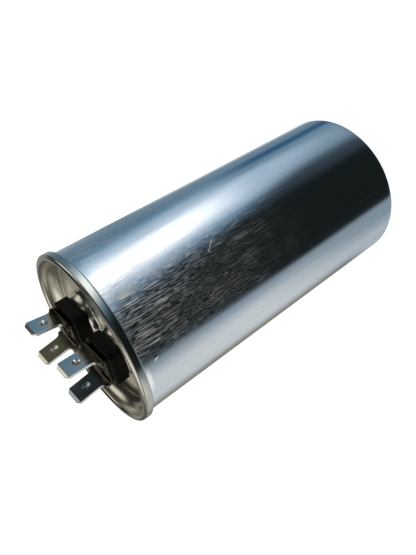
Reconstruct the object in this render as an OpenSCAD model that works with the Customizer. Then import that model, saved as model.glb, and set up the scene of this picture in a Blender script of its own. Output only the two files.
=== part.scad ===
// Motor-run capacitor in a round aluminium can, standing on its closed end.
// Millimetres. Origin at the centre of the closed end, +Z along the can to the terminals,
// +X along the line that joins the two terminals.

/* [Can] */
// Outer diameter of the can
can_d = 50; // [44:0.5:60]
// Height from the closed end to the top of the seam
can_h = 102.5; // [70:0.5:150]
// Thickness of the can's wall
can_wall = 0.4; // [0.3:0.05:0.6]
// Radius of the edge of the closed end
base_round = 1.2; // [0.6:0.1:3]
// Depth of the sealed contents below the top of the seam
contents_depth = 9.5; // [9:0.5:14]

/* [Lid and seam] */
// Thickness of the lid's sheet
lid_t = 0.33; // [0.28:0.01:0.4]
// Clearance between the folded layers of the seam
seam_gap = 0.04; // [0.01:0.01:0.05]
// Height of the seam
seam_h = 2.8; // [2.6:0.1:3.6]
// How far the can's wall is pressed in under the seam
seam_press = 0.1; // [0.05:0.01:0.2]
// Height over which the wall is pressed in, below the seam
press_h = 1; // [0.5:0.1:2]
// Outer radius of the bends at the top of the seam
seam_round = 0.85; // [0.7:0.01:0.86]
// Depth of the lid's panel below the top of the seam
recess = 5; // [4.8:0.1:7]
// Turn at the edge of the panel, where the wall of the recess starts, in degrees
panel_turn = 15; // [8:1:20]
// Radius of the turn at the edge of the panel
edge_round = 0.5; // [0.3:0.1:0.8]
// Radius of the curve from the edge of the panel up to the wall of the recess
recess_round = 4; // [3:0.1:4.2]
// Height of the boss under each terminal
boss_h = 2; // [1.6:0.1:2.4]
// Diameter of the flat top of a boss
boss_top_d = 12.4; // [12:0.1:13.4]
// Diameter of a boss where it leaves the panel
boss_base_d = 16; // [14.5:0.1:16.6]

/* [Insulators] */
// Distance between the two terminals
pitch = 17; // [16.8:0.1:19]
// Turn of the terminals against the line that joins them, in degrees
terminal_turn = 5; // [-15:1:15]
// Width of an insulator, along its tabs' faces
block_w = 11.8; // [10.8:0.1:12.4]
// Length of an insulator, across its tabs' faces
block_l = 11.2; // [10.6:0.1:12]
// Height of an insulator above its boss
block_h = 4.1; // [2.6:0.1:5]
// Radius of an insulator's upright edges
block_round = 1.5; // [0.8:0.1:2.4]
// Bevel round an insulator's top
block_bevel = 0.4; // [0.2:0.1:0.8]
// Diameter of the spigot that passes through the lid
spigot_d = 6; // [5.4:0.1:6.4]
// Outer diameter of the rubber seal
seal_d = 8.8; // [8:0.1:9.4]
// Thickness of the rubber seal
seal_t = 1; // [0.6:0.1:1.4]
// Outer diameter of the washer under the lid
washer_d = 11; // [9:0.1:11.4]
// Thickness of the washer under the lid
washer_t = 1.5; // [1:0.1:2]
// Radial clearance of the spigot in the lid, the seal and the washer
spigot_fit = 0.05; // [0.02:0.01:0.1]

/* [Terminals] */
// Thickness of the terminals' sheet
tab_t = 0.8; // [0.7:0.05:0.9]
// Width of a tab
tab_w = 6.3; // [5.8:0.1:6.6]
// Length of a tab, from its tip to the shoulders
tab_l = 8.2; // [7:0.1:9]
// Width of a terminal below its shoulders
root_w = 9.2; // [8.6:0.1:9.8]
// Height of the shoulders above the fold
root_h = 0.9; // [0.6:0.1:3]
// Radius of the hollow corner between a tab and its shoulder
shoulder_round = 1.4; // [0.6:0.1:1.6]
// Inside radius of the folds
fold_round = 0.7; // [0.5:0.1:0.8]
// Distance between the middles of a terminal's two tabs at the folds
leg_spread = 8.8; // [8:0.1:9.4]
// Outward lean of terminal a's front tab, in degrees
lean_a_front = 8.5; // [0:0.5:12]
// Outward lean of terminal a's back tab, in degrees
lean_a_back = 9; // [0:0.5:12]
// Outward lean of terminal b's front tab, in degrees
lean_b_front = 1; // [0:0.5:12]
// Outward lean of terminal b's back tab, in degrees
lean_b_back = 8; // [0:0.5:12]
// Chamfer on the corners of a tab's tip
tip_chamfer = 1; // [0.6:0.1:1.6]
// Length of the lead-in bevel on each face of a tip
tip_bevel = 0.8; // [0.6:0.1:2]
// Thickness left at the edge of a tip
tip_t = 0.3; // [0.2:0.05:0.6]
// Diameter of the detent dimple that is coined into both faces of a tab
dimple_d = 2.2; // [1.8:0.1:2.6]
// Depth of a dimple
dimple_depth = 0.28; // [0.16:0.02:0.3]
// Distance from a tab's tip to the middle of its dimples
dimple_in = 4.5; // [3:0.1:5]

/* [Rivets] */
// Diameter of a rivet's shank
shank_d = 3.2; // [2.6:0.1:3.6]
// Diameter of a rivet's head, between the tabs
head_d = 5.6; // [4.8:0.1:5.8]
// Height of a rivet's head
head_h = 1.1; // [0.8:0.1:1.6]
// Diameter of a rivet's closed end, under the lid
closed_d = 7.2; // [6.8:0.1:8]
// Height of a rivet's closed end
closed_h = 0.9; // [0.6:0.1:1.4]
// Radial clearance of a rivet in its holes
rivet_fit = 0.05; // [0.02:0.01:0.1]

/* [Hidden] */
$fn = 96;

// Largest step of an arc, in degrees
arc_step = 12;
// How far a cut runs past the face that it opens
past = 1;

can_r = can_d / 2;
boss_top = can_h - recess + boss_h;
block_top = boss_top + block_h;
spigot_end = boss_top - lid_t - washer_t;
leg_length = root_h + tab_l;
fold_r = fold_round + tab_t / 2;
dimple_r = (pow(dimple_d / 2, 2) + pow(dimple_depth, 2)) / (2 * dimple_depth);

// Outer radius of the can's wall in the seam and the lowest point of the seam
pressed_r = can_r - seam_press;
seam_foot = can_h - seam_h;
// Middle radii of the seam's layers, from the wall of the recess outwards
recess_wall_r = pressed_r - can_wall - seam_gap - lid_t / 2;
can_wall_r = pressed_r - can_wall / 2;
lid_hook_r = pressed_r + seam_gap + lid_t / 2;
can_hook_r = lid_hook_r + lid_t / 2 + seam_gap + can_wall / 2;
seam_wall_r = can_hook_r + can_wall / 2 + seam_gap + lid_t / 2;
// Middle radius of both hooks' bends, the heights of their centres and the hooks' length
hook_bend = (lid_t + can_wall) / 2 + seam_gap;
can_bend_z = can_h - lid_t - seam_gap - can_wall / 2 - hook_bend;
lid_bend_z = seam_foot + lid_t / 2 + hook_bend;
hook_l = can_bend_z - lid_bend_z - seam_gap;
// Middle radius of the bends at the top of the seam, which meet at most in a half circle
top_bend = min(seam_round - lid_t / 2, (seam_wall_r - recess_wall_r) / 2);

// Colours
aluminium_grey = [0.78, 0.8, 0.83];
tinplate_grey = [0.7, 0.7, 0.68];
moulded_black = [0.06, 0.06, 0.06];
rubber_black = [0.12, 0.12, 0.12];
washer_brown = [0.45, 0.3, 0.18];
tinned_grey = [0.66, 0.66, 0.64];

function heading(a) = [cos(a), sin(a)];
function left_of(a) = [-sin(a), cos(a)];
function reversed(list) = [for (i = [len(list) - 1 : -1 : 0]) list[i]];

// Middle line of a bent sheet as [point, heading]. A move is [straight length, turn, middle radius].
function middle_line(p, a, moves, i = 0) =
    i == len(moves) ? [] :
    let (
        q = p + moves[i][0] * heading(a),
        straight_end = i == 0 || moves[i][0] > 0 ? [[q, a]] : [],
        turn = moves[i][1],
        centre = q + sign(turn) * moves[i][2] * left_of(a),
        steps = ceil(abs(turn) / arc_step),
        bend = [for (k = [1 : 1 : steps])
            let (b = a + turn * k / steps) [centre - sign(turn) * moves[i][2] * left_of(b), b]],
        end = steps == 0 ? q : bend[steps - 1][0]
    )
    concat(straight_end, bend, middle_line(end, a + turn, moves, i + 1));

// One face of the sheet: offset is positive to the left of its heading
function sheet_face(line, offset) = [for (s = line) s[0] + offset * left_of(s[1])];

// Places what belongs to one terminal: side is 1 for terminal a and -1 for terminal b
module at_terminal(side, z) {
    translate([side * pitch / 2, 0, z])
        rotate([0, 0, terminal_turn])
            children();
}

// Can wall from the foot of the seam upwards: over the top and down between the lid's layers
function can_hook_line() =
    middle_line([can_wall_r, seam_foot], 90,
        [[0, 0, 0], [can_bend_z - seam_foot, -180, hook_bend], [hook_l, 0, 0]]);

module can() {
    hook = can_hook_line();
    base_edge = [for (a = [-90 : arc_step / 2 : 0])
        [can_r - base_round, base_round] + base_round * heading(a)];
    contents_top = can_h - contents_depth;
    bore_r = can_r - can_wall;
    profile = concat(
        [[0, 0]], base_edge, [[can_r, seam_foot - press_h]],
        sheet_face(hook, -can_wall / 2), reversed(sheet_face(hook, can_wall / 2)),
        [[bore_r, seam_foot - press_h], [bore_r, contents_top], [0, contents_top]]
    );
    color(aluminium_grey)
        rotate_extrude()
            polygon(profile);
}

// Lid from its middle: panel, recess wall, over the seam, down its outside and up inside the can's hook
function lid_line() =
    let (
        edge_bend = edge_round + lid_t / 2,
        floor_bend = recess_round + lid_t / 2,
        panel_r = recess_wall_r - edge_bend * sin(panel_turn) - floor_bend * (1 - sin(panel_turn)),
        rise = edge_bend * (1 - cos(panel_turn)) + floor_bend * cos(panel_turn)
    )
    middle_line([0, can_h - recess - lid_t / 2], 0, [
        [0, 0, 0],
        [panel_r, panel_turn, edge_bend],
        [0, 90 - panel_turn, floor_bend],
        [recess - rise - top_bend, -90, top_bend],
        [seam_wall_r - recess_wall_r - 2 * top_bend, -90, top_bend],
        [can_h - lid_t / 2 - top_bend - lid_bend_z, -180, hook_bend],
        [hook_l, 0, 0]
    ]);

// Smooth swelling with a flat top and an S-shaped side, its foot reaching some way below the panel
module boss(foot) {
    steps = 10;
    side = [for (i = [0 : steps])
        [(boss_top_d + (boss_base_d - boss_top_d) * i / steps) / 2, boss_h * (1 + cos(180 * i / steps)) / 2]];
    rotate_extrude()
        polygon(concat([[0, -foot], [0, boss_h]], side, [[boss_base_d / 2, -foot]]));
}

module lid() {
    line = lid_line();
    panel_top = can_h - recess;
    color(tinplate_grey)
        difference() {
            union() {
                rotate_extrude()
                    polygon(concat(sheet_face(line, -lid_t / 2), reversed(sheet_face(line, lid_t / 2))));
                for (side = [1, -1])
                    at_terminal(side, panel_top)
                        boss(lid_t / 2);
            }
            for (side = [1, -1])
                at_terminal(side, panel_top - lid_t) {
                    boss(past);
                    cylinder(h = boss_h + lid_t + past, d = spigot_d + 2 * spigot_fit);
                }
        }
}

module rounded_square(w, l, r) {
    square([w - 2 * r, l], center = true);
    square([w, l - 2 * r], center = true);
    for (x = [-1, 1], y = [-1, 1])
        translate([x * (w / 2 - r), y * (l / 2 - r)])
            circle(r);
}

// Section of the block with its two top edges bevelled, run through along one direction
module bevelled_run(across, along) {
    rotate([90, 0, 0])
        linear_extrude(along, center = true)
            polygon([[-across / 2, 0], [across / 2, 0], [across / 2, block_h - block_bevel],
                [across / 2 - block_bevel, block_h], [block_bevel - across / 2, block_h],
                [-across / 2, block_h - block_bevel]]);
}

module block() {
    intersection() {
        linear_extrude(block_h)
            rounded_square(block_w, block_l, block_round);
        bevelled_run(block_w, block_l);
        rotate([0, 0, 90])
            bevelled_run(block_l, block_w);
    }
}

module insulator(side) {
    color(moulded_black)
        at_terminal(side, boss_top)
            difference() {
                union() {
                    difference() {
                        block();
                        translate([0, 0, -past])
                            cylinder(h = seal_t + past, d = seal_d);
                    }
                    translate([0, 0, spigot_end - boss_top])
                        cylinder(h = boss_top - spigot_end + seal_t, d = spigot_d);
                }
                translate([0, 0, spigot_end - boss_top - past])
                    cylinder(h = block_top - spigot_end + 2 * past, d = shank_d + 2 * rivet_fit);
            }
}

module ring(outer_d, inner_d, h) {
    difference() {
        cylinder(h = h, d = outer_d);
        translate([0, 0, -past])
            cylinder(h = h + 2 * past, d = inner_d);
    }
}

module seal(side) {
    color(rubber_black)
        at_terminal(side, boss_top)
            ring(seal_d, spigot_d + 2 * spigot_fit, seal_t);
}

module washer(side) {
    color(washer_brown)
        at_terminal(side, spigot_end)
            ring(washer_d, spigot_d + 2 * spigot_fit, washer_t);
}

// Half of a terminal's section from the start of its fold: fold and leg, leaning outwards
function half_section(lean) =
    middle_line([leg_spread / 2 - fold_r, tab_t / 2], 0, [[0, 90 - lean, fold_r], [leg_length, 0, 0]]);

function mirrored(points) = [for (p = points) [-p[0], p[1]]];

// Section of the folded sheet: outside of the back half, inside of both, outside of the front half
module folded_section(lean_front, lean_back) {
    front = half_section(lean_front);
    back = half_section(lean_back);
    polygon(concat(
        sheet_face(back, -tab_t / 2),
        reversed(sheet_face(back, tab_t / 2)),
        mirrored(sheet_face(front, tab_t / 2)),
        mirrored(reversed(sheet_face(front, -tab_t / 2)))
    ));
}

// Moves to the top of a back leg's fold, with Z along the leg
module at_leg(lean) {
    translate([0, leg_spread / 2 - fold_r * (1 - cos(lean)), tab_t / 2 + fold_r * (1 - sin(lean))])
        rotate([-lean, 0, 0])
            children();
}

// What is punched away beside a tab: hollow shoulder and chamfered tip
module side_cut() {
    hollow = [for (a = [270 : -arc_step / 2 : 180])
        [tab_w / 2 + shoulder_round, root_h + shoulder_round] + shoulder_round * heading(a)];
    rotate([90, 0, 0])
        linear_extrude(tab_t + 2 * past, center = true)
            polygon(concat([[root_w / 2 + past, root_h]], hollow, [
                [tab_w / 2, leg_length - tip_chamfer],
                [tab_w / 2 - tip_chamfer, leg_length],
                [tab_w / 2 - tip_chamfer, leg_length + past],
                [root_w / 2 + past, leg_length + past]
            ]));
}

// Wedge that bevels one face of a tip
module bevel_cut() {
    face = tab_t / 2;
    edge = tip_t / 2;
    rotate([90, 0, 90])
        linear_extrude(root_w, center = true)
            polygon([[face, -tip_bevel], [edge, 0], [edge, past], [face + past, past], [face + past, -tip_bevel]]);
}

// Everything that is cut from one leg
module leg_cuts() {
    for (side = [0, 1])
        mirror([side, 0, 0])
            side_cut();
    for (face = [0, 1])
        mirror([0, face, 0])
            translate([0, 0, leg_length])
                bevel_cut();
    for (face = [-1, 1])
        translate([0, face * (tab_t / 2 - dimple_depth + dimple_r), leg_length - dimple_in])
            sphere(dimple_r);
}

module terminal(side, lean_front, lean_back) {
    color(tinned_grey)
        at_terminal(side, block_top)
            difference() {
                rotate([90, 0, 90])
                    linear_extrude(root_w, center = true)
                        folded_section(lean_front, lean_back);
                at_leg(lean_back)
                    leg_cuts();
                mirror([0, 1, 0])
                    at_leg(lean_front)
                        leg_cuts();
                translate([0, 0, -past])
                    cylinder(h = tab_t + 2 * past, d = shank_d + 2 * rivet_fit);
            }
}

// Domed head above the terminal, shank through the stack, flat closed end under the washer
module rivet(side) {
    steps = 8;
    dome_r = (pow(head_d / 2, 2) + pow(head_h, 2)) / (2 * head_h);
    span = asin(head_d / 2 / dome_r);
    dome = [for (i = [0 : steps]) [0, tab_t + head_h - dome_r] + dome_r * heading(90 - span * i / steps)];
    low = spigot_end - block_top;
    color(tinned_grey)
        at_terminal(side, block_top)
            rotate_extrude()
                polygon(concat(dome, [[shank_d / 2, tab_t], [shank_d / 2, low], [closed_d / 2, low],
                    [closed_d / 2, low - closed_h], [0, low - closed_h]]));
}

module insulator_a() { insulator(1); }
module insulator_b() { insulator(-1); }
module seal_a() { seal(1); }
module seal_b() { seal(-1); }
module washer_a() { washer(1); }
module washer_b() { washer(-1); }
module terminal_a() { terminal(1, lean_a_front, lean_a_back); }
module terminal_b() { terminal(-1, lean_b_front, lean_b_back); }
module rivet_a() { rivet(1); }
module rivet_b() { rivet(-1); }

can();
lid();
insulator_a();
insulator_b();
seal_a();
seal_b();
washer_a();
washer_b();
terminal_a();
terminal_b();
rivet_a();
rivet_b();
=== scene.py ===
import math

import bmesh
import bpy
from mathutils import Matrix, Vector, noise
from mathutils.geometry import delaunay_2d_cdt


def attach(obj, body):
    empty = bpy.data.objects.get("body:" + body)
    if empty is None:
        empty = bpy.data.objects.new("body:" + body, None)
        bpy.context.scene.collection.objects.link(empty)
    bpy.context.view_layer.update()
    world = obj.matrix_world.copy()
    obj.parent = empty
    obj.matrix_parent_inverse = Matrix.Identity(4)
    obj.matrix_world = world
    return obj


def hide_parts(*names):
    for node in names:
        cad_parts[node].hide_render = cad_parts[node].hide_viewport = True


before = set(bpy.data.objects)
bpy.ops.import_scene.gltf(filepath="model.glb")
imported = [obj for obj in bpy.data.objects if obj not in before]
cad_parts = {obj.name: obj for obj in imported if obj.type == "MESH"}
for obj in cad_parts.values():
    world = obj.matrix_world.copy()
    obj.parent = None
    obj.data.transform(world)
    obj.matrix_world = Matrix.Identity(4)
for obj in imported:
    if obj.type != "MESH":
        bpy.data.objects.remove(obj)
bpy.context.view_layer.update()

# One millimetre, in the metres of the frame
MM = 0.001

# Sizes of the solids, in millimetres; PANEL_TURN and LEANS in degrees, TERMINAL_TURN in radians
CAN_R = 25
CAN_H = 102.5
CAN_WALL = 0.4
BASE_ROUND = 1.2
CONTENTS_TOP = CAN_H - 9.5
LID_T = 0.33
SEAM_GAP = 0.04
SEAM_H = 2.8
SEAM_PRESS = 0.1
PRESS_H = 1
SEAM_ROUND = 0.85
RECESS = 5
PANEL_TURN = 15
EDGE_ROUND = 0.5
RECESS_ROUND = 4
BOSS_H = 2
BOSS_TOP_R = 6.2
BOSS_BASE_R = 8
PITCH = 17
TERMINAL_TURN = math.radians(5)
BLOCK_W = 11.8
BLOCK_L = 11.2
BLOCK_H = 4.1
BLOCK_ROUND = 1.5
BLOCK_BEVEL = 0.4
SPIGOT_R = 3
SPIGOT_FIT = 0.05
SEAL_R = 4.4
SEAL_T = 1
WASHER_T = 1.5
TAB_T = 0.8
TAB_W = 6.3
TAB_L = 8.2
ROOT_W = 9.2
ROOT_H = 0.9
SHOULDER_ROUND = 1.4
FOLD_R = 1.1
LEG_SPREAD = 8.8
LEANS = {"a": (8.5, 9), "b": (1, 8)}
TIP_CHAMFER = 1
TIP_BEVEL = 0.8
TIP_T = 0.3
DIMPLE_R = 1.1
DIMPLE_DEPTH = 0.28
DIMPLE_IN = 4.5
SHANK_R = 1.6
RIVET_FIT = 0.05
HEAD_R = 2.8
HEAD_H = 1.1
CLOSED_R = 3.6
CLOSED_H = 0.9

PANEL_TOP = CAN_H - RECESS
BOSS_TOP = PANEL_TOP + BOSS_H
BLOCK_TOP = BOSS_TOP + BLOCK_H
SPIGOT_END = BOSS_TOP - LID_T - WASHER_T
LEG_LENGTH = ROOT_H + TAB_L
BORE_R = SHANK_R + RIVET_FIT
SIDES = {"a": 1, "b": -1}

# Layers of the seam, from the wall of the recess outwards
PRESSED_R = CAN_R - SEAM_PRESS
SEAM_FOOT = CAN_H - SEAM_H
RECESS_WALL_R = PRESSED_R - CAN_WALL - SEAM_GAP - LID_T / 2
CAN_WALL_R = PRESSED_R - CAN_WALL / 2
LID_HOOK_R = PRESSED_R + SEAM_GAP + LID_T / 2
CAN_HOOK_R = LID_HOOK_R + LID_T / 2 + SEAM_GAP + CAN_WALL / 2
SEAM_WALL_R = CAN_HOOK_R + CAN_WALL / 2 + SEAM_GAP + LID_T / 2
HOOK_BEND = (LID_T + CAN_WALL) / 2 + SEAM_GAP
CAN_BEND_Z = CAN_H - LID_T - SEAM_GAP - CAN_WALL / 2 - HOOK_BEND
LID_BEND_Z = SEAM_FOOT + LID_T / 2 + HOOK_BEND
HOOK_L = CAN_BEND_Z - LID_BEND_Z - SEAM_GAP
TOP_BEND = SEAM_ROUND - LID_T / 2
EDGE_BEND = EDGE_ROUND + LID_T / 2
FLOOR_BEND = RECESS_ROUND + LID_T / 2
TURN_SIN = math.sin(math.radians(PANEL_TURN))
TURN_COS = math.cos(math.radians(PANEL_TURN))
PANEL_R = RECESS_WALL_R - EDGE_BEND * TURN_SIN - FLOOR_BEND * (1 - TURN_SIN)
RISE = EDGE_BEND * (1 - TURN_COS) + FLOOR_BEND * TURN_COS

# Fineness of the meshes
ROUND_STEPS = 256
BOSS_STEPS = 96
ARC_STEP = math.radians(7.5)
# Angles of the points on a soft edge of the terminals' sheet, in degrees
CORNER_TURNS = (22.5, 45, 67.5)

# Camera of the photograph: angles, place, focal length and sensor, lengths in millimetres
VIEW_AZIMUTH = math.radians(-39.5)
VIEW_ELEVATION = math.radians(26.77)
VIEW_ROLL = math.radians(-122.61)
EYE = (-93.82, -108.96, 133.84)
LENS = 34.1
SENSOR = 36


# Shapes

def arc(centre, radius, start, end, steps):
    """Points of an arc in a plane, angles in degrees."""
    angles = [math.radians(start + (end - start) * i / steps) for i in range(steps + 1)]
    return [(centre[0] + radius * math.cos(a), centre[1] + radius * math.sin(a)) for a in angles]


def spread(start, end, steps):
    """Evenly spaced values from start to end."""
    return [start + (end - start) * i / steps for i in range(steps + 1)]


def middle_line(point, heading, moves):
    """Middle line of a bent sheet as (x, y, heading). A move is (length, turn in degrees, radius)."""
    x, y = point
    line = []
    for length, degrees, radius in moves:
        x += length * math.cos(heading)
        y += length * math.sin(heading)
        line.append((x, y, heading))
        turn = math.radians(degrees)
        side = math.copysign(1, turn)
        cx = x - side * radius * math.sin(heading)
        cy = y + side * radius * math.cos(heading)
        steps = math.ceil(abs(turn) / ARC_STEP)
        for k in range(1, steps + 1):
            a = heading + turn * k / steps
            x = cx + side * radius * math.sin(a)
            y = cy - side * radius * math.cos(a)
            line.append((x, y, a))
        heading += turn
    return line


def sheet_face(line, offset):
    """One face of the sheet: offset is positive to the left of its heading."""
    return [(x - offset * math.sin(a), y + offset * math.cos(a)) for x, y, a in line]


def loft(rings, closed=False):
    """Vertices and faces of a skin over rings of equal count, where a ring of one point is a pole."""
    verts, starts = [], []
    for loop in rings:
        starts.append(len(verts))
        verts.extend(loop)
    faces = []
    pairs = list(zip(range(len(rings)), range(1, len(rings))))
    if closed:
        pairs.append((len(rings) - 1, 0))
    for i, j in pairs:
        a, b = starts[i], starts[j]
        na, nb = len(rings[i]), len(rings[j])
        for k in range(max(na, nb)):
            m = (k + 1) % max(na, nb)
            if na == 1:
                faces.append((a, b + m, b + k))
            elif nb == 1:
                faces.append((a + k, a + m, b))
            else:
                faces.append((a + k, a + m, b + m, b + k))
    return verts, faces


def ring(radius, z, steps):
    """A level circle, or its single middle point where the radius is nothing."""
    if radius == 0:
        return [(0, 0, z)]
    angles = [math.tau * k / steps for k in range(steps)]
    return [(radius * math.cos(a), radius * math.sin(a), z) for a in angles]


def lathe(profile, steps):
    """Skin of a profile of (radius, height) turned about the Z axis."""
    return loft([ring(r, z, steps) for r, z in profile])


def at_terminal(verts, side, z):
    """Places what belongs to one terminal: side is 1 for terminal a and -1 for terminal b."""
    c, s = math.cos(TERMINAL_TURN), math.sin(TERMINAL_TURN)
    return [(side * PITCH / 2 + c * x - s * y, s * x + c * y, z + h) for x, y, h in verts]


def add_piece(name, node, material, verts, faces, sharp=50):
    """Makes a closed, smoothly shaded mesh that stands for one node of the frame."""
    same_place = 1e-4 * MM
    mesh = bpy.data.meshes.new(name)
    mesh.from_pydata([tuple(c * MM for c in v) for v in verts], [], faces)
    bm = bmesh.new()
    bm.from_mesh(mesh)
    bmesh.ops.remove_doubles(bm, verts=bm.verts, dist=same_place)
    bmesh.ops.recalc_face_normals(bm, faces=bm.faces)
    for face in bm.faces:
        face.smooth = True
    for edge in bm.edges:
        edge.smooth = edge.calc_face_angle(0) < math.radians(sharp)
    bm.to_mesh(mesh)
    bm.free()
    mesh.materials.append(material)
    piece = bpy.data.objects.new(name, mesh)
    bpy.context.scene.collection.objects.link(piece)
    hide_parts(node)
    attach(piece, "root")
    return piece


# Pieces

def can_wave(x, y, z):
    """Unevenness of the drawn wall: a shallow inward ripple, in millimetres."""
    depth = 0.02
    across = 14
    along = 45
    contrast = 1.6
    swell = noise.noise(Vector((x / across, y / across, z / along)))
    return depth * (0.5 + 0.5 * max(-1, min(1, contrast * swell)))


def make_can(material):
    """Base, wall and hook in one profile, with the wall slightly uneven between its ends."""
    hook = middle_line((CAN_WALL_R, SEAM_FOOT), math.pi / 2, [
        (0, 0, 0), (CAN_BEND_Z - SEAM_FOOT, -180, HOOK_BEND), (HOOK_L, 0, 0)])
    base_rings = 8
    base_round_steps = 10
    wall_rows = 64
    even_end = 2
    fade_length = 6
    bore_r = CAN_R - CAN_WALL
    press_z = SEAM_FOOT - PRESS_H
    profile = [(r, 0) for r in spread(0, CAN_R - BASE_ROUND, base_rings)]
    profile += arc((CAN_R - BASE_ROUND, BASE_ROUND), BASE_ROUND, -90, 0, base_round_steps)[1:]
    profile += [(CAN_R, z) for z in spread(BASE_ROUND, press_z, wall_rows)[1:]]
    profile += sheet_face(hook, -CAN_WALL / 2) + sheet_face(hook, CAN_WALL / 2)[::-1]
    profile += [(bore_r, press_z), (bore_r, CONTENTS_TOP), (0, CONTENTS_TOP)]
    verts, faces = lathe(profile, ROUND_STEPS)
    wavy = []
    for x, y, z in verts:
        r = math.hypot(x, y)
        from_base = min(1, max(0, (z - even_end) / fade_length))
        from_seam = min(1, max(0, (press_z - z) / fade_length))
        fade = from_base * from_seam
        inward = can_wave(x, y, z) * fade if r > bore_r + CAN_WALL / 2 else 0
        k = 1 - inward / r if r else 1
        wavy.append((x * k, y * k, z))
    add_piece("can_drawn", "can", material, wavy, faces)


def boss_height(r):
    """Height of a boss at a radius: flat top and S-shaped side."""
    t = min(1, max(0, (r - BOSS_TOP_R) / (BOSS_BASE_R - BOSS_TOP_R)))
    return BOSS_H * (1 + math.cos(math.pi * t)) / 2


def lid_panel(panel_r):
    """Flat panel between the bosses, as vertices in the plane and triangles."""
    outline = [ring(panel_r, 0, ROUND_STEPS)]
    outline += [at_terminal(ring(BOSS_BASE_R, 0, BOSS_STEPS), side, 0) for side in SIDES.values()]
    points, edges = [], []
    for loop in outline:
        start = len(points)
        points += [Vector(p[:2]) for p in loop]
        edges += [(start + k, start + (k + 1) % len(loop)) for k in range(len(loop))]
    spacing = 1.5
    edge_clear = 0.5
    boss_clear = 0.4
    same_place = 1e-6
    inside_boss = BOSS_BASE_R * 0.999
    count = int(panel_r / spacing)
    middles = [Vector((side * PITCH / 2, 0)) for side in SIDES.values()]
    for i in range(-count, count + 1):
        for j in range(-count, count + 1):
            p = Vector((i * spacing, j * spacing))
            off_bosses = all((p - m).length > BOSS_BASE_R + boss_clear for m in middles)
            if p.length < panel_r - edge_clear and off_bosses:
                points.append(p)
    flat, _, triangles, *_ = delaunay_2d_cdt(points, edges, [], 0, same_place)
    kept = []
    for tri in triangles:
        middle = sum((flat[k] for k in tri), Vector((0, 0))) / 3
        if middle.length < panel_r and all((middle - m).length > inside_boss for m in middles):
            kept.append(tuple(tri))
    return [tuple(p) for p in flat], kept


def make_lid(material):
    """Rim and seam as one lathe, with the panel and the two bosses joined to it."""
    rim = middle_line((PANEL_R, PANEL_TOP - LID_T / 2), 0, [
        (0, PANEL_TURN, EDGE_BEND),
        (0, 90 - PANEL_TURN, FLOOR_BEND),
        (RECESS - RISE - TOP_BEND, -90, TOP_BEND),
        (SEAM_WALL_R - RECESS_WALL_R - 2 * TOP_BEND, -90, TOP_BEND),
        (CAN_H - LID_T / 2 - TOP_BEND - LID_BEND_Z, -180, HOOK_BEND),
        (HOOK_L, 0, 0)])
    verts, faces = lathe(sheet_face(rim, -LID_T / 2) + sheet_face(rim, LID_T / 2)[::-1], ROUND_STEPS)
    flat, triangles = lid_panel(PANEL_R)
    hole_r = SPIGOT_R + SPIGOT_FIT
    side_rings = 16
    top_rings = 4
    boss_radii = spread(BOSS_BASE_R, BOSS_TOP_R, side_rings) + spread(BOSS_TOP_R, hole_r, top_rings)[1:]

    def join(more_verts, more_faces):
        start = len(verts)
        verts.extend(more_verts)
        faces.extend(tuple(start + k for k in f) for f in more_faces)

    for z in (PANEL_TOP, PANEL_TOP - LID_T):
        join([(x, y, z) for x, y in flat], triangles)
    for side in SIDES.values():
        top = [ring(r, boss_height(r), BOSS_STEPS) for r in boss_radii]
        under = [[(x, y, h - LID_T) for x, y, h in loop] for loop in reversed(top)]
        boss_verts, boss_faces = loft(top + under)
        join(at_terminal(boss_verts, side, PANEL_TOP), boss_faces)
    add_piece("lid_seamed", "lid", material, verts, faces)


def rounded_outline(w, l, r):
    """Points of a rectangle with round corners, anticlockwise."""
    corner_steps = 8
    side_steps = 6
    points = []
    corners = ((1, -1, -90), (1, 1, 0), (-1, 1, 90), (-1, -1, 180))
    for sx, sy, start in corners:
        points += arc((sx * (w / 2 - r), sy * (l / 2 - r)), r, start, start + 90, corner_steps)
    filled = []
    for p, q in zip(points, points[1:] + points[:1]):
        steps = side_steps if math.dist(p, q) > r / 2 else 1
        filled += [(p[0] + (q[0] - p[0]) * i / steps, p[1] + (q[1] - p[1]) * i / steps)
                   for i in range(steps)]
    return filled


def make_insulator(key, material):
    """Block with a bevelled top and a seat for the seal, spigot and bore, as one closed loop of rings."""
    outline = rounded_outline(BLOCK_W, BLOCK_L, BLOCK_ROUND)
    angles = [math.atan2(y, x) for x, y in outline]
    foot_round = 0.15
    foot_steps = 3
    bevel_steps = 5
    wall_rows = 4
    top_circle_r = 3.2
    top_insets = (1.4, 0.6)

    def circle(r, z):
        return [(r * math.cos(a), r * math.sin(a), z) for a in angles]

    def block(inset, z):
        kx, ky = 1 - 2 * inset / BLOCK_W, 1 - 2 * inset / BLOCK_L
        return [(x * kx, y * ky, z) for x, y in outline]

    bevel = [block(BLOCK_BEVEL * (1 - math.cos(a)), BLOCK_H - BLOCK_BEVEL * (1 - math.sin(a)))
             for a in spread(math.pi / 2, 0, bevel_steps)]
    foot = [block(foot_round * (1 - math.cos(a)), foot_round * (1 - math.sin(a)))
            for a in spread(0, math.pi / 2, foot_steps)]
    wall = [block(0, z) for z in spread(BLOCK_H - BLOCK_BEVEL, foot_round, wall_rows)[1:-1]]
    spigot_low = SPIGOT_END - BOSS_TOP
    rings = [circle(BORE_R, BLOCK_H), circle(top_circle_r, BLOCK_H)]
    rings += [block(inset, BLOCK_H) for inset in top_insets]
    rings += bevel + wall + foot
    rings += [circle(SEAL_R, 0), circle(SEAL_R, SEAL_T), circle(SPIGOT_R, SEAL_T)]
    rings += [circle(SPIGOT_R, spigot_low), circle(BORE_R, spigot_low)]
    verts, faces = loft(rings, closed=True)
    add_piece(f"insulator_{key}_moulded", f"insulator_{key}", material,
              at_terminal(verts, SIDES[key], BOSS_TOP), faces, sharp=35)


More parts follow.
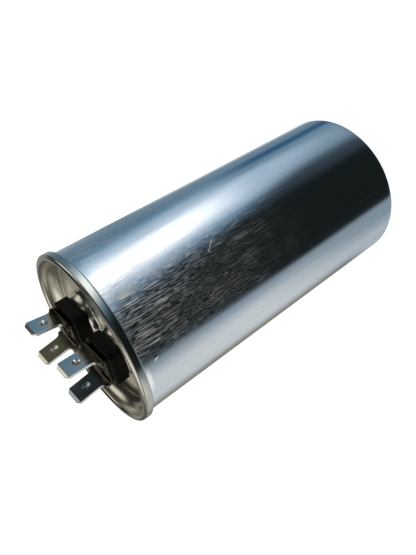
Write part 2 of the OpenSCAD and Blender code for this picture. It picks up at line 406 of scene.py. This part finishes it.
def leg_half_width(d):
    """Half of the sheet's width at a distance up the leg: root, hollow shoulder, tab, chamfered tip."""
    if d <= ROOT_H:
        return ROOT_W / 2
    centre = TAB_W / 2 + SHOULDER_ROUND
    rise = ROOT_H + SHOULDER_ROUND - d
    if rise > 0:
        return centre - math.sqrt(SHOULDER_ROUND ** 2 - rise ** 2)
    return TAB_W / 2 - max(0, d - (LEG_LENGTH - TIP_CHAMFER))


def leg_half_thickness(d):
    """Half of the sheet's thickness at a distance up the leg, less where the tip is bevelled."""
    bevel = max(0, d - (LEG_LENGTH - TIP_BEVEL)) / TIP_BEVEL
    return (TAB_T + (TIP_T - TAB_T) * bevel) / 2


def dimple_depth(x, d):
    """Depth of the coined dimple at a place on a tab's face."""
    sphere = (DIMPLE_R ** 2 + DIMPLE_DEPTH ** 2) / (2 * DIMPLE_DEPTH)
    away = math.hypot(x, d - (LEG_LENGTH - DIMPLE_IN))
    if away > DIMPLE_R:
        return 0
    return math.sqrt(sphere ** 2 - away ** 2) - (sphere - DIMPLE_DEPTH)


def leg_stations():
    """Distances up a leg at which the sheet gets a section, closer where its outline turns."""
    root_steps = 4
    shoulder_steps = 12
    straight_steps = 46
    tip_steps = 10
    root = spread(0, ROOT_H, root_steps)
    turns = spread(0, math.pi / 2, shoulder_steps)
    shoulder = [ROOT_H + SHOULDER_ROUND * (1 - math.cos(a)) for a in turns]
    straight = spread(ROOT_H + SHOULDER_ROUND, LEG_LENGTH - TIP_CHAMFER, straight_steps)
    tip = spread(LEG_LENGTH - TIP_CHAMFER, LEG_LENGTH, tip_steps)
    return root + shoulder[1:] + straight[1:] + tip[1:]


def sheet_section(point, heading, half_w, half_t, d, across):
    """Closed section of the sheet with soft edges: lower face, right edge, upper face, left edge."""
    y, z = point
    edge_round = 0.07
    most_of_half = 0.6
    soft = min(edge_round, most_of_half * half_t)
    flat = half_w - soft
    columns = [flat * (2 * i / across - 1) for i in range(across + 1)]
    corner = [math.radians(a) for a in CORNER_TURNS]
    pairs = [(x, dimple_depth(x, d) - half_t) for x in columns]
    pairs += [(flat + soft * math.sin(a), soft - half_t - soft * math.cos(a)) for a in corner]
    pairs += [(half_w, soft - half_t), (half_w, half_t - soft)]
    pairs += [(flat + soft * math.cos(a), half_t - soft + soft * math.sin(a)) for a in corner]
    pairs += [(x, half_t - dimple_depth(x, d)) for x in reversed(columns)]
    pairs += [(-flat - soft * math.sin(a), half_t - soft + soft * math.cos(a)) for a in corner]
    pairs += [(-half_w, half_t - soft), (-half_w, soft - half_t)]
    pairs += [(-flat - soft * math.cos(a), soft - half_t - soft * math.sin(a)) for a in corner]
    return [(x, y - n * math.sin(heading), z + n * math.cos(heading)) for x, n in pairs]


def half_sheet(lean, mirror, across):
    """Sections of a terminal from the middle of its base to one tip; mirror is -1 for the front half."""
    base_steps = 14
    fold_steps = 14
    tip_steps = 3
    tip_soft = 0.1
    start = LEG_SPREAD / 2 - FOLD_R
    stations = [((y, TAB_T / 2), 0, ROOT_W / 2, TAB_T / 2, 0) for y in spread(0, start, base_steps)]
    turn = math.radians(90 - lean)
    for a in spread(0, turn, fold_steps)[1:]:
        place = (start + FOLD_R * math.sin(a), TAB_T / 2 + FOLD_R * (1 - math.cos(a)))
        stations.append((place, a, ROOT_W / 2, TAB_T / 2, 0))
    foot = stations[-1][0]
    for d in leg_stations()[1:]:
        along = min(d, LEG_LENGTH - tip_soft)
        place = (foot[0] + along * math.cos(turn), foot[1] + along * math.sin(turn))
        stations.append((place, turn, leg_half_width(d), leg_half_thickness(d), d))
    for a in spread(0, math.pi / 2, tip_steps)[1:]:
        along = LEG_LENGTH - tip_soft * (1 - math.sin(a))
        inset = tip_soft * (1 - math.cos(a))
        place = (foot[0] + along * math.cos(turn), foot[1] + along * math.sin(turn))
        stations.append((place, turn, leg_half_width(LEG_LENGTH) - inset, TIP_T / 2 - inset, LEG_LENGTH))
    sections = [sheet_section(*station, across) for station in stations]
    return [[(x, mirror * y, z) for x, y, z in section] for section in sections]


def tip_cap(start, across, count):
    """Quads that close a section from its lower to its upper face."""
    faces = []
    columns = across + 1
    edge_points = 2 * len(CORNER_TURNS) + 2
    upper = columns + edge_points
    for i in range(across):
        a, b = start + i, start + i + 1
        faces.append((a, b, start + upper + across - i - 1, start + upper + across - i))
    faces.append(tuple(start + k for k in range(across, upper + 1)))
    faces.append(tuple(start + k % count for k in range(upper + across, count + 1)))
    return faces


def make_terminal(key, material):
    """Folded sheet from one tip over its base to the other, with the rivet's hole."""
    across = 60
    past = 1
    lean_front, lean_back = LEANS[key]
    front = half_sheet(lean_front, -1, across)
    back = half_sheet(lean_back, 1, across)
    sections = front[:0:-1] + back
    verts, faces = loft(sections)
    count = len(sections[0])
    faces += tip_cap(0, across, count)
    faces += tip_cap(len(verts) - count, across, count)
    piece = add_piece(f"terminal_{key}_folded", f"terminal_{key}", material,
                      at_terminal(verts, SIDES[key], BLOCK_TOP), faces)
    drill(piece, SIDES[key], BORE_R, BLOCK_TOP - past, BLOCK_TOP + TAB_T + past)


def drill(piece, side, radius, low, high):
    """Cuts a terminal's rivet hole right through its mesh."""
    steps = 48
    verts, faces = lathe([(0, low), (radius, low), (radius, high), (0, high)], steps)
    mesh = bpy.data.meshes.new("drill")
    mesh.from_pydata([tuple(c * MM for c in v) for v in at_terminal(verts, side, 0)], [], faces)
    cutter = bpy.data.objects.new("drill", mesh)
    bpy.context.scene.collection.objects.link(cutter)
    cut = piece.modifiers.new("hole", "BOOLEAN")
    cut.operation = "DIFFERENCE"
    cut.solver = "EXACT"
    cut.object = cutter
    graph = bpy.context.evaluated_depsgraph_get()
    drilled = bpy.data.meshes.new_from_object(piece.evaluated_get(graph))
    piece.modifiers.remove(cut)
    piece.data = drilled
    bpy.data.objects.remove(cutter)


def make_rivet(key, material):
    """Domed head, shank and flat closed end."""
    dome_steps = 14
    round_steps = 72
    dome_r = (HEAD_R ** 2 + HEAD_H ** 2) / (2 * HEAD_H)
    reach = math.degrees(math.asin(HEAD_R / dome_r))
    dome = arc((0, TAB_T + HEAD_H - dome_r), dome_r, 90, 90 - reach, dome_steps)
    dome[0] = (0, TAB_T + HEAD_H)
    low = SPIGOT_END - BLOCK_TOP
    profile = dome + [(SHANK_R, TAB_T), (SHANK_R, low), (CLOSED_R, low), (CLOSED_R, low - CLOSED_H)]
    profile.append((0, low - CLOSED_H))
    verts, faces = lathe(profile, round_steps)
    add_piece(f"rivet_{key}_domed", f"rivet_{key}", material,
              at_terminal(verts, SIDES[key], BLOCK_TOP), faces, sharp=35)


# Materials

# Values between which most of a noise lies
NOISE_SPAN = (0.3, 0.7)
# Heights on the can's wall between which the wear, its short scuffs and the wear of the rim set in
WORN = (34, 64)
DASHED = (46, 82)
RIM = (74, 100)
# Azimuth of the most handled side of the can, and the angles from it over which the wear starts and ends
HANDLED_AZIMUTH = 229
HANDLED_START = (-34, -13)
HANDLED_END = (10, 32)
# Scratches on the wall: (azimuth in degrees, height) of both ends, width and depth
SCRATCHES = [
    ((235.8, 69.7), (241.6, 66.9), 0.2, 1.0),
    ((241, 62), (243.5, 56), 0.18, 0.35),
]
# Dent beside the seam: ends, width and depth
DENT = ((199.7, 96), (200.7, 95.4), 0.5, 0.12)
# Heights between which the painted shade on a terminal's foot and on the rivets ends
FOOT_SHADE_HEIGHTS = (105.4, 108.6)
# Painted reflection tint of each terminal's back tab, and the rivets' own colour for their back half
BACK_TAB_REFLECTION_TINTS = {"a": (0.6, 0.6, 0.52, 1), "b": (0.3, 0.37, 0.44, 1)}
DULL_RIVET = (0.68, 0.66, 0.62, 1)


class Shader:
    """Short calls for the nodes of one material or of the world."""

    def __init__(self, tree):
        self.tree = tree

    def add(self, kind, inputs=None, **settings):
        node = self.tree.nodes.new(kind)
        for key, value in settings.items():
            setattr(node, key, value)
        for key, value in (inputs or {}).items():
            self.put(node.inputs[key], value)
        return node

    def put(self, socket, value):
        if isinstance(value, bpy.types.NodeSocket):
            self.tree.links.new(value, socket)
        else:
            socket.default_value = value

    def math(self, operation, *values):
        return self.add("ShaderNodeMath", dict(enumerate(values)), operation=operation).outputs[0]

    def remap(self, value, from_low, from_high, to_low=0.0, to_high=1.0):
        return self.add("ShaderNodeMapRange", {
            "Value": value, "From Min": from_low, "From Max": from_high,
            "To Min": to_low, "To Max": to_high,
        }, interpolation_type="SMOOTHSTEP").outputs["Result"]

    def mix(self, factor, a, b):
        node = self.add("ShaderNodeMix", data_type="RGBA")
        self.put(node.inputs[0], factor)
        self.put(node.inputs[6], a)
        self.put(node.inputs[7], b)
        return node.outputs[2]

    def vector(self, operation, a, b):
        return self.add("ShaderNodeVectorMath", {0: a, 1: b}, operation=operation).outputs

    def object_mm(self):
        """Place on the piece, in millimetres."""
        place = self.add("ShaderNodeTexCoord").outputs["Object"]
        return self.vector("MULTIPLY", place, (1 / MM, 1 / MM, 1 / MM))[0]

    def noise(self, place, sizes, detail=3.0, roughness=0.5):
        """Noise with features of about the given sizes along X, Y and Z."""
        scaled = self.vector("MULTIPLY", place, tuple(1 / s for s in sizes))[0]
        return self.add("ShaderNodeTexNoise", {
            "Vector": scaled, "Scale": 1.0, "Detail": detail, "Roughness": roughness,
        }).outputs["Fac"]

    def stroke(self, place, start, end, width):
        """Mask of a straight scratch with soft sides and ends."""
        along = Vector((*end, 0)) - Vector((*start, 0))
        length = along.length
        along /= length
        across = Vector((-along.y, along.x, 0))
        offset = self.vector("SUBTRACT", place, (*start, 0))[0]
        run = self.vector("DOT_PRODUCT", offset, along)["Value"]
        aside = self.vector("DOT_PRODUCT", offset, across)["Value"]
        half = length / 2
        from_middle = self.math("ABSOLUTE", self.math("SUBTRACT", run, half))
        sides = self.remap(self.math("ABSOLUTE", aside), 0.0, width, 1.0, 0.0)
        ends = self.remap(from_middle, half - width, half + width, 1.0, 0.0)
        return self.math("MULTIPLY", sides, ends)

    def bump(self, height, strength, distance_mm, normal=None):
        inputs = {"Height": height, "Strength": strength, "Distance": distance_mm * MM}
        if normal:
            inputs["Normal"] = normal
        return self.add("ShaderNodeBump", inputs).outputs["Normal"]


def new_material(name):
    """A new material, the calls for its nodes and its shader's sockets."""
    material = bpy.data.materials.new(name)
    material.use_nodes = True
    return material, Shader(material.node_tree), material.node_tree.nodes["Principled BSDF"].inputs


def on_wall(azimuth, height):
    """Place on the unrolled wall of the can, in millimetres, for an azimuth in degrees from +X."""
    return (math.radians((azimuth + 180) % 360 - 180) * CAN_R, height)


def wall_stroke(nodes, wall, ends, width):
    """Mask of a scratch or dent between two places given as (azimuth, height)."""
    start, end = ends
    return nodes.stroke(wall, on_wall(*start), on_wall(*end), width)


def wall_scuffs(nodes, wall, angle, z, rim):
    """Mask of the scuffs along the wall, thickest near the seam on the handled side."""
    handled_angle = math.radians(HANDLED_AZIMUTH)
    start, end = ([math.radians(a) for a in span] for span in (HANDLED_START, HANDLED_END))
    turned = nodes.math("WRAP", nodes.math("SUBTRACT", angle, handled_angle), math.pi, -math.pi)
    handled = nodes.math("MULTIPLY", nodes.remap(turned, *start, 0.06, 1.0),
                         nodes.remap(turned, *end, 1.0, 0.3))
    worn = nodes.remap(z, *WORN)
    lines = nodes.noise(wall, (0.21, 7, 1), detail=0.4)
    dashes = nodes.noise(wall, (0.145, 2, 1), detail=0.5)
    patches = nodes.noise(wall, (4, 22, 1), detail=3)
    more_at_rim = nodes.math("MULTIPLY_ADD", rim, 0.03, lines)
    long_scuffs = nodes.math("MULTIPLY", nodes.remap(more_at_rim, 0.6, 0.65),
                             nodes.remap(rim, 0, 1, 0.4, 1.0))
    short_scuffs = nodes.math("MULTIPLY", nodes.remap(dashes, 0.42, 0.69, 0.0, 0.43),
                              nodes.remap(z, *DASHED, 0.25, 1.0))
    scuffs = nodes.math("MAXIMUM", long_scuffs, short_scuffs)
    scuffs = nodes.math("MULTIPLY", scuffs, nodes.remap(patches, 0.35, 0.65, 0.6, 1.0))
    scuffs = nodes.math("MULTIPLY", scuffs, nodes.math("MULTIPLY", worn, handled))
    for *ends, width, depth in SCRATCHES:
        scratch = nodes.math("MULTIPLY", wall_stroke(nodes, wall, ends, width), depth)
        scuffs = nodes.math("MAXIMUM", scuffs, scratch)
    return scuffs


def drawn_aluminium():
    """Drawn wall: smooth towards the base, with duller and paler scuffs near the seam."""
    dark, pale, scuffed = (0.8, 0.82, 0.83, 1), (0.88, 0.9, 0.92, 1), (1, 0.92, 0.85, 1)
    material, nodes, bsdf = new_material("drawn_aluminium")
    x, y, z = nodes.add("ShaderNodeSeparateXYZ", {0: nodes.object_mm()}).outputs
    angle = nodes.math("ARCTAN2", y, x)
    wall = nodes.add("ShaderNodeCombineXYZ", {0: nodes.math("MULTIPLY", angle, CAN_R), 1: z}).outputs[0]
    rim = nodes.remap(z, *RIM)
    streaks = nodes.noise(wall, (0.5, 30, 1), detail=3)
    scuffs = wall_scuffs(nodes, wall, angle, z, rim)
    metal = nodes.mix(nodes.remap(streaks, *NOISE_SPAN), dark, pale)
    nodes.put(bsdf["Base Color"], nodes.mix(scuffs, metal, scuffed))
    smooth = nodes.math("MULTIPLY_ADD", rim, 0.04, nodes.remap(streaks, *NOISE_SPAN, 0.08, 0.11))
    nodes.put(bsdf["Roughness"], nodes.math("MULTIPLY_ADD", scuffs, 0.5, smooth))
    nodes.put(bsdf["Metallic"], nodes.math("MULTIPLY_ADD", scuffs, -0.26, 1.0))
    bsdf["Anisotropic"].default_value = 0.85
    *dent_ends, dent_width, dent_depth = DENT
    dent = wall_stroke(nodes, wall, dent_ends, dent_width)
    drawn = nodes.bump(streaks, 0.08, 0.02)
    dented = nodes.bump(dent, 1.0, dent_depth, drawn)
    nodes.put(bsdf["Normal"], nodes.bump(scuffs, 0.4, 0.012, dented))
    return material


def tinplate():
    """Plain tinned sheet with a faint cloudiness."""
    dark, pale = (0.58, 0.57, 0.51, 1), (0.66, 0.65, 0.6, 1)
    material, nodes, bsdf = new_material("tinplate")
    cloud = nodes.noise(nodes.object_mm(), (9, 9, 9), detail=1)
    nodes.put(bsdf["Base Color"], nodes.mix(cloud, dark, pale))
    nodes.put(bsdf["Roughness"], nodes.remap(cloud, *NOISE_SPAN, 0.17, 0.22))
    bsdf["Metallic"].default_value = 1
    return material


def tinned_brass(name, back_tone_and_reflection):
    """Tinned sheet: smooth faces, painted shade towards the foot, the given colour on the back half (a
    painted reflection tint on the tabs), and sheared edges that are rougher and paler as a painted
    highlight.
    """
    dark, pale = (0.62, 0.6, 0.55, 1), (0.74, 0.72, 0.68, 1)
    # The pale edge colour is a painted highlight and the dark foot colour is painted shade
    edge_highlight_colour, painted_foot_shade = (0.95, 0.93, 0.88, 1), (0.09, 0.08, 0.06, 1)
    sideways = (math.cos(TERMINAL_TURN), math.sin(TERMINAL_TURN), 0)
    material, nodes, bsdf = new_material(name)
    place = nodes.object_mm()
    cloud = nodes.noise(place, (4, 4, 4), detail=1)
    normal = nodes.add("ShaderNodeTexCoord").outputs["Normal"]
    facing = nodes.vector("DOT_PRODUCT", normal, sideways)["Value"]
    sheared = nodes.remap(nodes.math("ABSOLUTE", facing), 0.55, 0.85)
    _, aside, height = nodes.add("ShaderNodeSeparateXYZ", {0: place}).outputs
    # The back half takes the given colour: on the tabs a painted reflection tint, on the rivets their own
    # colour
    face = nodes.mix(nodes.remap(aside, -1, 1), nodes.mix(cloud, dark, pale), back_tone_and_reflection)
    # Painted highlight: the sheared edges get a paler colour; their extra roughness further down is real
    bright = nodes.mix(sheared, face, edge_highlight_colour)
    # Painted shade: the foot of each terminal and the rivets turn dark towards the block, with a noisy
    # border
    unshaded = nodes.remap(nodes.math("MULTIPLY_ADD", cloud, 1.5, height), *FOOT_SHADE_HEIGHTS)
    nodes.put(bsdf["Base Color"], nodes.mix(unshaded, painted_foot_shade, bright))
    rough = nodes.remap(cloud, *NOISE_SPAN, 0.1, 0.14)
    nodes.put(bsdf["Roughness"], nodes.math("MULTIPLY_ADD", sheared, 0.22, rough))
    bsdf["Metallic"].default_value = 1
    return material


def moulded_plastic():
    """Black moulding, half matt, with a fine grain."""
    dark, pale = (0.002, 0.002, 0.002, 1), (0.006, 0.006, 0.005, 1)
    material, nodes, bsdf = new_material("moulded_black")
    place = nodes.object_mm()
    cloud = nodes.noise(place, (2.5, 2.5, 2.5), detail=4)
    grain = nodes.noise(place, (0.12, 0.12, 0.12), detail=2)
    nodes.put(bsdf["Base Color"], nodes.mix(cloud, dark, pale))
    nodes.put(bsdf["Roughness"], nodes.remap(cloud, *NOISE_SPAN, 0.42, 0.58))
    bsdf["Specular IOR Level"].default_value = 0.22
    nodes.put(bsdf["Normal"], nodes.bump(grain, 0.15, 0.02))
    return material


def sealing_rubber():
    """Matt black rubber."""
    dark, pale = (0.012, 0.012, 0.012, 1), (0.03, 0.03, 0.03, 1)
    material, nodes, bsdf = new_material("sealing_rubber")
    grain = nodes.noise(nodes.object_mm(), (0.2, 0.2, 0.2), detail=3)
    nodes.put(bsdf["Base Color"], nodes.mix(grain, dark, pale))
    nodes.put(bsdf["Roughness"], nodes.remap(grain, *NOISE_SPAN, 0.7, 0.85))
    nodes.put(bsdf["Normal"], nodes.bump(grain, 0.2, 0.03))
    return material


def pressed_board():
    """Brown pressed board with short fibres."""
    dark, pale = (0.12, 0.05, 0.02, 1), (0.26, 0.12, 0.05, 1)
    material, nodes, bsdf = new_material("pressed_board")
    fibres = nodes.noise(nodes.object_mm(), (0.6, 0.15, 0.3), detail=4, roughness=0.65)
    nodes.put(bsdf["Base Color"], nodes.mix(fibres, dark, pale))
    nodes.put(bsdf["Roughness"], nodes.remap(fibres, *NOISE_SPAN, 0.6, 0.8))
    nodes.put(bsdf["Normal"], nodes.bump(fibres, 0.3, 0.03))
    return material


# Studio

class Panel:
    """Soft-edged field round the part, in degrees: azimuth from +X, tilt as azimuth per elevation."""

    def __init__(self, azimuth, elevation, colour, soft=(6, 6), tilt=0):
        self.azimuth = azimuth
        self.elevation = elevation
        self.colour = (*colour, 1)
        self.soft = soft
        self.tilt = tilt


# Each field lies over those before it
PANELS = [
    # Low fields, which the can's wall mirrors
    Panel((46, 104), (-40, -2), (0.25, 0.235, 0.19), (9, 3)),
    Panel((46, 104), (-100, -41), (0.42, 0.49, 0.55), (9, 2)),
    Panel((104, 168), (-100, -2), (0.24, 0.31, 0.37), (4, 5)),
    Panel((95, 130), (-100, -2), (0.44, 0.5, 0.55), (16, 5)),
    Panel((98, 150), (-37, -2), (0.62, 0.66, 0.68), (14, 9)),
    Panel((165, 278), (-100, -2), (0.009, 0.013, 0.013), (4, 8)),
    Panel((262, 290), (-100, -2), (0.04, 0.06, 0.08), (12, 8)),
    Panel((312, 352), (-100, -8), (0.11, 0.2, 0.28), (8, 4)),
    Panel((284, 336), (-100, -35), (0.18, 0.28, 0.36), (12, 6)),
    Panel((294, 322), (-44, -30), (0.36, 0.48, 0.6), (14, 6)),
    Panel((352, 388), (-100, -4), (0.16, 0.25, 0.32), (8, 5)),
    Panel((377, 406), (-100, -24), (0.5, 0.58, 0.65), (6, 6)),
    Panel((370, 400), (-18, -4), (0.36, 0.44, 0.5), (8, 4)),
    Panel((228, 306), (-36, -4), (0.15, 0.29, 0.42), (14, 5), -1.2),
    Panel((242, 302), (-39, -4), (0.46, 0.6, 0.73), (10, 6), -1.0),
    Panel((322, 352), (-100, -31), (0.16, 0.26, 0.35), (8, 6)),
    Panel((336, 351), (-100, -34), (0.03, 0.1, 0.2), (5, 4)),
    Panel((258, 286), (-31, -4), (1.6, 1.65, 1.7), (10, 6), -0.8),
    # High and level fields, which the lid, the seam and the tabs mirror
    Panel((-20, 380), (64, 100), (0.24, 0.26, 0.26), (6, 10)),
    Panel((102, 222), (8, 70), (0.46, 0.44, 0.38), (10, 8), -0.6),
    Panel((208, 222), (60, 78), (1.1, 1.05, 0.92), (4, 4)),
    Panel((265, 279), (48, 58), (0.9, 0.75, 0.55), (4, 3)),
    Panel((66, 100), (2, 36), (0.13, 0.13, 0.11), (10, 8)),
    Panel((42, 62), (4, 44), (0.3, 0.31, 0.29), (6, 8)),
    Panel((8, 46), (-4, 20), (0.3, 0.32, 0.3), (6, 3)),
    Panel((294, 342), (9, 36), (1.0, 0.94, 0.82), (10, 6)),
    Panel((268, 300), (-2, 26), (0.08, 0.12, 0.14), (6, 8)),
    Panel((319, 345), (-5, 9), (0.1, 0.1, 0.075), (4, 2)),
    Panel((126, 156), (-12, -6), (1.2, 1.18, 1.12), (6, 2.5)),
]
# Colours of the surroundings between the fields, and the elevations, in radians, where they meet
LOW_COLOUR = (0.1, 0.14, 0.18, 1)
HIGH_COLOUR = (0.03, 0.032, 0.026, 1)
HORIZON = (-0.1, 0.02)


def studio_world():
    """Surroundings for reflections and soft light; the camera itself sees plain white."""
    world = bpy.data.worlds.new("studio")
    world.use_nodes = True
    bpy.context.scene.world = world
    nodes = Shader(world.node_tree)
    direction = nodes.add("ShaderNodeTexCoord").outputs["Generated"]
    x, y, z = nodes.add("ShaderNodeSeparateXYZ", {0: direction}).outputs
    azimuth = nodes.math("ARCTAN2", y, x)
    elevation = nodes.math("ARCSINE", z)
    colour = nodes.mix(nodes.remap(elevation, *HORIZON), LOW_COLOUR, HIGH_COLOUR)
    for panel in PANELS:
        left, right = (math.radians(v) for v in panel.azimuth)
        low, high = (math.radians(v) for v in panel.elevation)
        soft_az, soft_el = (math.radians(v) for v in panel.soft)
        half = (right - left) / 2
        middle = nodes.math("MULTIPLY_ADD", elevation, panel.tilt, (left + right) / 2)
        turned = nodes.math("WRAP", nodes.math("SUBTRACT", azimuth, middle), math.pi, -math.pi)
        beside = nodes.remap(nodes.math("ABSOLUTE", turned), half - soft_az, half + soft_az, 1.0, 0.0)
        above = nodes.remap(elevation, low - soft_el, low + soft_el)
        below = nodes.remap(elevation, high - soft_el, high + soft_el, 1.0, 0.0)
        mask = nodes.math("MULTIPLY", beside, nodes.math("MULTIPLY", above, below))
        colour = nodes.mix(mask, colour, panel.colour)
    seen = nodes.add("ShaderNodeLightPath").outputs["Is Camera Ray"]
    background = world.node_tree.nodes["Background"].inputs
    nodes.put(background["Color"], nodes.mix(seen, colour, (1, 1, 1, 1)))
    background["Strength"].default_value = 1


def studio_floor():
    """Plain pale floor under the part, bright enough to keep shadows faint."""
    reach = 30
    dark, pale = (0.86, 0.86, 0.86, 1), (0.9, 0.9, 0.9, 1)
    corners = [(-reach, -reach, 0), (reach, -reach, 0), (reach, reach, 0), (-reach, reach, 0)]
    mesh = bpy.data.meshes.new("floor")
    mesh.from_pydata(corners, [], [(0, 1, 2, 3)])
    floor = bpy.data.objects.new("floor", mesh)
    bpy.context.scene.collection.objects.link(floor)
    material, nodes, bsdf = new_material("pale_floor")
    speckle = nodes.noise(nodes.object_mm(), (3, 3, 3))
    nodes.put(bsdf["Base Color"], nodes.mix(speckle, dark, pale))
    bsdf["Roughness"].default_value = 0.9
    bsdf["Emission Color"].default_value = (1, 1, 1, 1)
    bsdf["Emission Strength"].default_value = 0.95
    mesh.materials.append(material)
    floor.visible_glossy = False


def soft_light(name, place, size, power, colour):
    """Square area light that faces the lid, its place and size in metres."""
    lamp = bpy.data.lights.new(name, "AREA")
    lamp.size = size
    lamp.energy = power
    lamp.color = colour
    light = bpy.data.objects.new(name, lamp)
    bpy.context.scene.collection.objects.link(light)
    place = Vector(place)
    aim = Vector((0, 0, CAN_H * MM)) - place
    light.matrix_world = Matrix.Translation(place) @ aim.to_track_quat("-Z", "Y").to_matrix().to_4x4()


def photo_camera():
    """Camera at the photograph's place, turned and rolled as it was held."""
    camera = bpy.data.cameras.new("camera")
    camera.lens = LENS
    camera.sensor_width = SENSOR
    camera.clip_start = 0.001
    camera.clip_end = 100
    c = math.cos(VIEW_ELEVATION)
    back = Vector((c * math.sin(VIEW_AZIMUTH), -c * math.cos(VIEW_AZIMUTH), math.sin(VIEW_ELEVATION)))
    right = Vector((math.cos(VIEW_AZIMUTH), math.sin(VIEW_AZIMUTH), 0))
    basis = Matrix((right, back.cross(right), back)).transposed().to_4x4()
    view = bpy.data.objects.new("camera", camera)
    view.matrix_world = Matrix.Translation(Vector(EYE) * MM) @ basis @ Matrix.Rotation(VIEW_ROLL, 4, "Z")
    bpy.context.scene.collection.objects.link(view)
    bpy.context.scene.camera = view


# Scene

black = moulded_plastic()
make_can(drawn_aluminium())
make_lid(tinplate())
rivet_metal = tinned_brass("tinned_rivet", DULL_RIVET)
for key in SIDES:
    make_insulator(key, black)
    make_terminal(key, tinned_brass(f"tinned_brass_{key}", BACK_TAB_REFLECTION_TINTS[key]))
    make_rivet(key, rivet_metal)

rubber = sealing_rubber()
board = pressed_board()
for key in SIDES:
    for node, material in ((f"seal_{key}", rubber), (f"washer_{key}", board)):
        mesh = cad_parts[node].data
        mesh.materials.clear()
        mesh.materials.append(material)

studio_world()
studio_floor()
soft_light("top_light", place=(-0.35, 0.2, 0.55), size=0.5, power=0.5, colour=(1, 0.96, 0.9))
photo_camera()
bpy.context.scene.view_settings.view_transform = "Standard"
